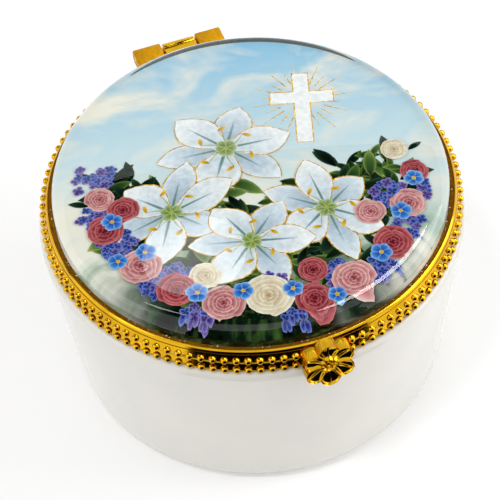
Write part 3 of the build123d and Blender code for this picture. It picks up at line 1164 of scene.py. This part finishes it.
class ROSARY_OT_picture(PieceOperator):
    """Prints the picture: a cross in the sky over lilies in a garland of roses and small blue flowers."""

    bl_idname = "rosary.picture"
    bl_label = "Printed Picture"

    def execute(self, context):
        page = Print(DOME_FOOT + 0.002, context.scene.rosary_picture)
        chance = page.chance
        # Each layer's number is how many of its shapes in a row never lie level.
        page.layer(60)
        self.cross(page, Vector((9.6, 17.4)))
        page.layer(90)
        self.leaves(page)
        page.layer(180)
        for x, y, radius, turn, view in LILIES:
            self.lily(page, (x, y), radius, turn, view)
        page.layer(97)
        per_millimetre, outermost = 9, 28.8
        for x, y, spread in SPRAYS:
            for k in range(int(per_millimetre * spread)):
                out, turn = spread * math.sqrt(chance.random()), chance.uniform(*ANY_TURN)
                place = (x + out * math.cos(turn), y + out * math.sin(turn))
                if math.hypot(*place) < outermost:
                    shades = (BLUE, VIOLET, BLUE)[k % 3]
                    page.flower(place, chance.uniform(0.8, 1.15), ((1.0, 4, 0.9),), shades, grid=(3, 4))
        page.layer(69)
        # The roses stand a little nearer the middle than their places say.
        nearer = 0.93
        for x, y, radius, shades in ROSES:
            page.flower((nearer * x, nearer * y), radius, ROSE, shades, widest=0.68, blunt=0.32)
        page.layer(10)
        for place in STARS:
            size, rings = chance.uniform(1.5, 1.9), ((1.0, 5, 0.95),)
            page.flower(place, size, rings, BRIGHT, widest=0.66, blunt=0.45, grid=(4, 6))
            page.flower(place, 0.4, ((1.0, 5, 1.0),), YOLK, grid=(2, 3))
        # What would reach under the rim is left out.
        limit = DOME_RADIUS - 0.25
        kept = [all(math.hypot(*page.points[i][:2]) < limit for i in face) for face in page.faces]
        faces = [face for face, keep in zip(page.faces, kept) if keep]
        printed = piece("picture_print", page.points, faces, printed_ink(), "lid", "printed_paper")
        printed.data.materials.append(gold_ink())
        gilt = [int(index in page.gilt_faces) for index, keep in enumerate(kept) if keep]
        printed.data.polygons.foreach_set("material_index", gilt)
        layer = printed.data.color_attributes.new("ink", "FLOAT_COLOR", "POINT")
        layer.data.foreach_set("color", [channel for colour in page.colours for channel in colour])
        return {"FINISHED"}

    def leaves(self, page):
        """Leaves in a crescent round the lower edge and, every third one, in the bouquet's middle."""
        chance = page.chance
        count, outermost = 560, 30.4
        for k in range(count):
            turn = math.radians(chance.uniform(172, 372))
            out = chance.uniform(14, 31) if k % 3 else chance.uniform(4, 24)
            root = (out * math.cos(turn), out * math.sin(turn))
            size = chance.uniform(2.5, 6.0) * (1.4 if k % 3 == 0 else 1.0)
            if math.hypot(*root) + size < outermost:
                way = chance.uniform(-1.7, 1.7) + (0.0 if k % 3 else math.pi)
                page.petal(
                    root,
                    way,
                    size,
                    size * 0.38,
                    GREENS[k % 4],
                    widest=0.5,
                    blunt=0.8,
                    bend=chance.uniform(-0.2, 0.2),
                    grid=(4, 6),
                )

    def cross(self, page, middle):
        """A plain white cross with a gold outline and gold rays."""
        rays, root, long, short, width = 24, 3.9, 8.4, 6.6, 0.26
        for k in range(rays):
            way = 2 * math.pi * (k + 0.5) / rays
            ray = Vector((math.sin(way), math.cos(way)))
            tip = long if k % 2 else short
            page.stroke(middle + ray * root, middle + ray * tip, width, YOLK[0], gilt=True)
        # The upright and the crosspiece, from left to right and from foot to top.
        beams = ((-1.25, 1.25, -9.5, 6.2), (-5.2, 5.2, -0.6, 1.9))
        for grow, shades, gilt in ((page.line, YOLK, True), (0.0, WHITE, False)):
            for left, right, low, high in beams:
                left, right, low, high = left - grow, right + grow, low - grow, high + grow
                page.sheet(
                    lambda across, share: (
                        middle.x + left + (right - left) * across,
                        middle.y + low + (high - low) * share,
                    ),
                    lambda across, share: mix(shades[1], shades[2], max(0.0, 1 - across * 1.2) * 0.9),
                    gilt=gilt,
                )

    def lily(self, page, middle, radius, turn, view):
        """An open white lily: three broad and three narrow pointed petals round a green throat."""
        chance = page.chance
        for broad, start, shades in ((0.5, 0.0, SHADED), (0.62, math.pi / 3, WHITE)):
            for k in range(3):
                way = turn + start + 2 * math.pi * k / 3
                page.petal(
                    middle,
                    way,
                    radius * chance.uniform(0.92, 1.05),
                    radius * broad,
                    shades,
                    widest=0.55,
                    blunt=0.85,
                    bend=chance.uniform(-0.08, 0.08),
                    view=view,
                    lined=True,
                )
                stripe = (GREENS[3][1], SHADED[0], SHADED[1])
                page.petal(
                    middle, way, radius * 0.72, radius * 0.05, stripe, widest=0.3, blunt=0.8, view=view
                )
        page.flower(middle, radius * 0.17, ((1.0, 6, 0.7),), (GREENS[3][1], GREENS[3][2], WHITE[1]))
        for k in range(6):
            way = turn + 0.5 + 2 * math.pi * k / 6
            tip = Vector(middle) + Vector((math.sin(way), math.cos(way))) * radius * 0.34
            page.stroke(middle, tip, 0.3, GREENS[3][2], bend=0.1)
            page.petal(tip, way + 1.2, radius * 0.14, radius * 0.06, YOLK, widest=0.5, blunt=0.5)


class ROSARY_OT_clasp(PieceOperator):
    """Builds the flower clasp, with dished petals and a rib along each, and its seed."""

    bl_idname = "rosary.clasp"
    bl_label = "Flower Clasp"

    def execute(self, context):
        s = context.scene.rosary_clasp
        tip, petal = s.radius / MM, s.petal_radius / MM
        reach = tip - petal
        normal = Vector((0, -math.cos(s.tilt), math.sin(s.tilt)))
        up = Vector((0, math.sin(s.tilt), math.cos(s.tilt)))
        right = Vector((1, 0, 0))
        middle = Vector((0, -(LID_RIM_RADIUS + s.standoff / MM), PARTING - 0.1))
        share = 2 * math.pi / s.petals
        # The face's profile: places as shares of the way to the rim, widths and heights in millimetres.
        collar_place, collar_height, collar_width = 0.3, 0.2, 0.22
        rib_height, rib_width, rib_end = 0.4, 0.11, 0.5
        socket_place, socket_depth = 0.23, 0.75
        crown = 0.3
        # Each petal is hollowed least along its seams and towards its ends, by these shares of its dish.
        deepest, half_length, less_at_seam, less_at_end = 0.62, 0.36, 0.35, 0.4
        rim_edge, seam_edge, collar_edge = 0.15, 0.24, 0.3

        def off_axis(turn):
            """Angle from the nearest petal's axis. One petal points straight down."""
            return (turn + math.pi / 2 + share / 2) % share - share / 2

        def outline_radius(turn):
            """How far the petals' outline is from the middle."""
            off = off_axis(turn)
            return reach * math.cos(off) + math.sqrt(petal**2 - (reach * math.sin(off)) ** 2)

        def height(ratio, turn):
            """How far the face stands from the plane through the petals' tips."""
            off = abs(off_axis(turn))
            from_rim, from_seam = (1 - ratio) * tip, (share / 2 - off) * ratio * tip
            from_collar = (ratio - collar_place) * tip
            hollow = 1 - less_at_seam * (2 * off / share) ** 2
            hollow *= 1 - less_at_end * ((ratio - deepest) / half_length) ** 2
            edges = ((from_rim, rim_edge), (from_seam, seam_edge), (from_collar, collar_edge))
            for away, width in edges:
                hollow *= 1 - math.exp(-((max(0.0, away) / width) ** 2))
            rib = rib_height * math.exp(-((off * ratio * tip / rib_width) ** 2))
            rib *= min(1.0, max(0.0, from_rim / rib_end))
            collar = collar_height * math.exp(-((from_collar / collar_width) ** 2))
            socket = -socket_depth * max(0.0, 1 - (ratio / socket_place) ** 6)
            return (rib - s.dish / MM) * hollow + collar + socket - crown * (1 - ratio**2)

        # The back's seats from the top, each down to a height: on the lid's band, then clear of the catch
        # and of the cup.
        thinnest, mouth = 0.3, context.scene.rosary_porcelain.mouth_radius / MM
        seats = (
            (LID_RIM_RADIUS, PARTING + 0.04),
            (BASE_RIM_RADIUS + 0.45, CUP_TOP + 0.1),
            (mouth + 0.35, 0),
        )

        def back_of(point):
            """The point straight behind, on the seat at its height."""
            for seat, lowest in seats:
                y = -math.sqrt(seat**2 - point.x**2)
                travel = max(thinnest, (y - point.y) / math.cos(s.tilt))
                behind = point - normal * travel
                if behind.z >= lowest:
                    return behind
            return behind

        # The rings of points lie closer together near the rim, where the face turns down.
        around = 360
        rings = [0.042 * k for k in range(1, 21)] + [0.84 + 0.16 * k / 12 for k in range(1, 13)]
        front = [middle + normal * height(0, 0)]
        for ratio in rings:
            for k in range(around):
                turn = 2 * math.pi * k / around
                radius = outline_radius(turn) * ratio
                spot = right * (radius * math.cos(turn)) + up * (radius * math.sin(turn))
                front.append(middle + spot + normal * height(ratio, turn))
        last, rear = len(front) - around, len(front)
        back = [back_of(point) for point in front[last:]]
        faces = fan_faces(0, 1, around)
        for ring in range(len(rings)):
            low = 1 + ring * around
            faces += ring_faces(low, low + around, around)
        faces += [face[::-1] for face in fan_faces(rear + around, rear, around)]
        points = front + back + [back_of(middle)]
        gilt = polished_gilt()
        piece("flower_clasp", points, faces, gilt, "lid", "gilt_brass", ["clasp"], crease=50.0)

        points, faces, sunk = [], [], 0.95
        centre = middle - normal * sunk
        ball(points, faces, centre, (normal, right, up), s.seed_radius / MM, rows=12, around=32, reach=0.62)
        piece("clasp_seed_ball", points, faces, gilt, "lid", "gilt_brass", ["clasp_seed"], crease=50.0)
        return {"FINISHED"}


# ---- stage -------------------------------------------------------------------------------------------
def area_light(name, place, size, power, shape="RECTANGLE", lights=True, shows=True):
    """A soft lamp that looks at the box. Lengths in millimetres, power in watts.

    It lights what's matt, shows in what's glossy, or does both.
    """
    data = bpy.data.lights.new(name, "AREA")
    data.shape = shape
    data.size, data.size_y = size[0] * MM, size[1] * MM
    data.energy = power
    lamp = bpy.data.objects.new(name, data)
    bpy.context.scene.collection.objects.link(lamp)
    lamp.location = Vector(place) * MM
    box_middle = Vector((0, 0, 25))
    lamp.rotation_euler = (box_middle - Vector(place)).to_track_quat("-Z", "Y").to_euler()
    lamp.visible_diffuse = lights
    lamp.visible_glossy = lamp.visible_transmission = shows


def looking_rays(tree):
    """A share of 1 for the rays that look at the stage: from the camera, off metal and through glass."""
    path = add_node(tree, "ShaderNodeLightPath")
    mirrored = add_node(
        tree,
        "ShaderNodeMath",
        {"operation": "MAXIMUM"},
        i0=path.outputs["Is Glossy Ray"],
        i1=path.outputs["Is Transmission Ray"],
    )
    looking = add_node(
        tree,
        "ShaderNodeMath",
        {"operation": "MAXIMUM"},
        i0=mirrored.outputs["Value"],
        i1=path.outputs["Is Camera Ray"],
    )
    return looking.outputs["Value"]


class ROSARY_OT_stage(PieceOperator):
    """Sets up the floor, the world, the flags, the lamps and the camera."""

    bl_idname = "rosary.stage"
    bl_label = "Stage"

    def execute(self, context):
        s = context.scene.rosary_stage
        self.add_floor(s)
        self.add_world(context.scene)
        self.add_flags(s)
        # The softboxes light the box and show in it, and the key lamp only lights it. The last three only
        # show, as a spot, a streak and an arc in the glass.
        area_light("left_softbox", (-560, 60, 330), (420, 420), 0.55)
        area_light("right_softbox", (540, -120, 300), (420, 420), 1.5)
        area_light("key_lamp", (-280, -160, 850), (160, 160), 1.3, "DISK", shows=False)
        area_light("round_lamp", (65, 520, 860), (150, 150), 0.2, "DISK", lights=False)
        area_light("streak_lamp", (410, 172, 912), (450, 450), 5.2, "DISK", lights=False)
        area_light("arc_lamp", (-160, 300, 940), (260, 60), 0.3, lights=False)
        self.add_camera(context.scene, s)
        context.scene.view_settings.view_transform = "Standard"
        return {"FINISHED"}

    def add_floor(self, s):
        """A pale, matt floor, a hair under the box's foot."""
        half = s.floor_size / 2
        mesh = bpy.data.meshes.new("floor")
        corners = [(-half, -half, 0), (half, -half, 0), (half, half, 0), (-half, half, 0)]
        mesh.from_pydata(corners, [], [(0, 1, 2, 3)])
        floor = bpy.data.objects.new("floor", mesh)
        floor.location.z = -0.02 * MM
        bpy.context.scene.collection.objects.link(floor)
        material, tree = new_material("pale_floor")
        paint = add_node(tree, "ShaderNodeBsdfDiffuse", {"Color": linear(s.floor_colour)})
        # Far from the lamps, where the floor gets less light, its own glow keeps it white.
        place = add_node(tree, "ShaderNodeTexCoord").outputs["Object"]
        away = add_node(tree, "ShaderNodeVectorMath", {"operation": "LENGTH"}, i0=place)
        fill = add_node(
            tree,
            "ShaderNodeMapRange",
            {"From Min": 200 * MM, "From Max": 900 * MM, "To Min": 0.24, "To Max": 0.52},
            Value=away.outputs["Value"],
        )
        glow = add_node(
            tree, "ShaderNodeEmission", {"Color": (1, 1, 1, 1)}, Strength=fill.outputs["Result"]
        )
        seen = add_node(tree, "ShaderNodeAddShader", i0=paint.outputs["BSDF"], i1=glow.outputs["Emission"])
        seen_by = looking_rays(tree)
        both = add_node(
            tree,
            "ShaderNodeMixShader",
            i0=seen_by,
            i1=paint.outputs["BSDF"],
            i2=seen.outputs["Shader"],
        )
        add_node(tree, "ShaderNodeOutputMaterial", Surface=both.outputs["Shader"])
        mesh.materials.append(material)
        floor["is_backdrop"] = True

    def add_world(self, scene):
        """White to whatever looks at it, and a soft, even light on what's matt."""
        world = bpy.data.worlds.new("studio")
        scene.world = world
        world.use_nodes = True
        tree = world.node_tree
        tree.nodes.clear()
        soft = add_node(tree, "ShaderNodeBackground", {"Color": (1, 1, 1, 1), "Strength": 0.58})
        white = add_node(tree, "ShaderNodeBackground", {"Color": (1, 1, 1, 1), "Strength": 1.0})
        seen_by = looking_rays(tree)
        both = add_node(
            tree,
            "ShaderNodeMixShader",
            i0=seen_by,
            i1=soft.outputs["Background"],
            i2=white.outputs["Background"],
        )
        add_node(tree, "ShaderNodeOutputWorld", Surface=both.outputs["Shader"])

    def add_camera(self, scene, s):
        """The camera, placed and turned as the settings say."""
        camera = bpy.data.cameras.new("camera")
        camera.lens = s.lens
        camera.sensor_width = 36.0
        camera.clip_start, camera.clip_end = 0.01, 20.0
        eye = bpy.data.objects.new("camera", camera)
        scene.collection.objects.link(eye)
        eye.matrix_world = (
            Matrix.Translation(s.camera_place)
            @ Matrix.Rotation(s.camera_azimuth, 4, "Z")
            @ Matrix.Rotation(math.pi / 2 - s.camera_elevation, 4, "X")
            @ Matrix.Rotation(s.camera_roll, 4, "Z")
        )
        scene.camera = eye

    def add_flags(self, s):
        """Two black studio flags, seen only in reflections: one from the floor in front up to half height
        behind the camera, one overhead at the back. Both are fans of strips about the box."""
        reach, near, hub_height = 1600.0, 58.0, 1.0
        turn = s.camera_azimuth + math.radians(8)
        front = Vector((math.sin(turn), -math.cos(turn), 0.0))
        side = Vector((math.cos(turn), math.sin(turn), 0.0))
        # Each flag's half spread in degrees and its strips' edges, each a distance and a rise in degrees.
        floor_run = [(near + (reach - near) * (k / 10) ** 2, 0.0) for k in range(10)]
        flags = (
            ("front_flag", 40.0, floor_run + [(reach, 4.0 * k) for k in range(10)]),
            ("overhead_flag", 62.0, [(reach, 84.0 + 6.0 * k) for k in range(9)]),
        )
        material, tree = new_material("black_velvet")
        cloth = add_node(tree, "ShaderNodeBsdfDiffuse", {"Color": linear("#0C0C0C")})
        add_node(tree, "ShaderNodeOutputMaterial", Surface=cloth.outputs["BSDF"])
        columns = 20
        for name, spread, path in flags:
            points, faces = [], []
            for out, rise in path:
                lift = math.radians(rise)
                ahead = front * math.cos(lift) + Vector((0, 0, math.sin(lift)))
                for k in range(columns + 1):
                    swing = math.radians(spread * (2 * k / columns - 1))
                    way = side * math.sin(swing) + ahead * math.cos(swing)
                    points.append((way * out + Vector((0, 0, hub_height))) * MM)
            for row in range(len(path) - 1):
                for k in range(columns):
                    corner = row * (columns + 1) + k
                    faces.append((corner, corner + 1, corner + columns + 2, corner + columns + 1))
            mesh = bpy.data.meshes.new(name)
            mesh.from_pydata(points, [], faces)
            mesh.materials.append(material)
            flag = bpy.data.objects.new(name, mesh)
            bpy.context.scene.collection.objects.link(flag)
            flag.visible_camera = flag.visible_diffuse = flag.visible_shadow = False
            flag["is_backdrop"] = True


class ROSARY_PT_panel(bpy.types.Panel):
    """Lists the box's pieces in the sidebar."""

    bl_idname = "ROSARY_PT_panel"
    bl_label = "Rosary Box"
    bl_space_type = "VIEW_3D"
    bl_region_type = "UI"
    bl_category = "Rosary Box"

    def draw(self, context):
        for name, group in SETTINGS.items():
            box = self.layout.box()
            box.label(text=group.__doc__.rstrip("."))
            for key in group.__annotations__:
                box.prop(getattr(context.scene, name), key)
        for operator in OPERATORS:
            self.layout.operator(operator.bl_idname)


SETTINGS = {
    "rosary_porcelain": PorcelainSettings,
    "rosary_gilt": GiltSettings,
    "rosary_dome": DomeSettings,
    "rosary_picture": PictureSettings,
    "rosary_clasp": ClaspSettings,
    "rosary_stage": StageSettings,
}
OPERATORS = (
    ROSARY_OT_cup,
    ROSARY_OT_rims,
    ROSARY_OT_pearls,
    ROSARY_OT_hinge,
    ROSARY_OT_lid_insert,
    ROSARY_OT_picture,
    ROSARY_OT_clasp,
    ROSARY_OT_stage,
)
CLASSES = (*SETTINGS.values(), *OPERATORS, ROSARY_PT_panel)


def register():
    for cls in CLASSES:
        bpy.utils.register_class(cls)
    for name, group in SETTINGS.items():
        setattr(bpy.types.Scene, name, PointerProperty(type=group))


def unregister():
    for name in SETTINGS:
        delattr(bpy.types.Scene, name)
    for cls in reversed(CLASSES):
        bpy.utils.unregister_class(cls)


def main():
    """Registers the add-on, builds every piece and the stage, and works out the sizes."""
    register()
    for operator in OPERATORS:
        group, name = operator.bl_idname.split(".")
        if getattr(getattr(bpy.ops, group), name)() != {"FINISHED"}:
            raise RuntimeError(operator.bl_label + " wasn't built")
    bpy.context.view_layer.update()
    sizes = {"cad": CAD_BOUNDS, "visual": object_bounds()}
    {key: [list(corner) for corner in value] for key, value in sizes.items()}


if __name__ == "__main__":
    main()
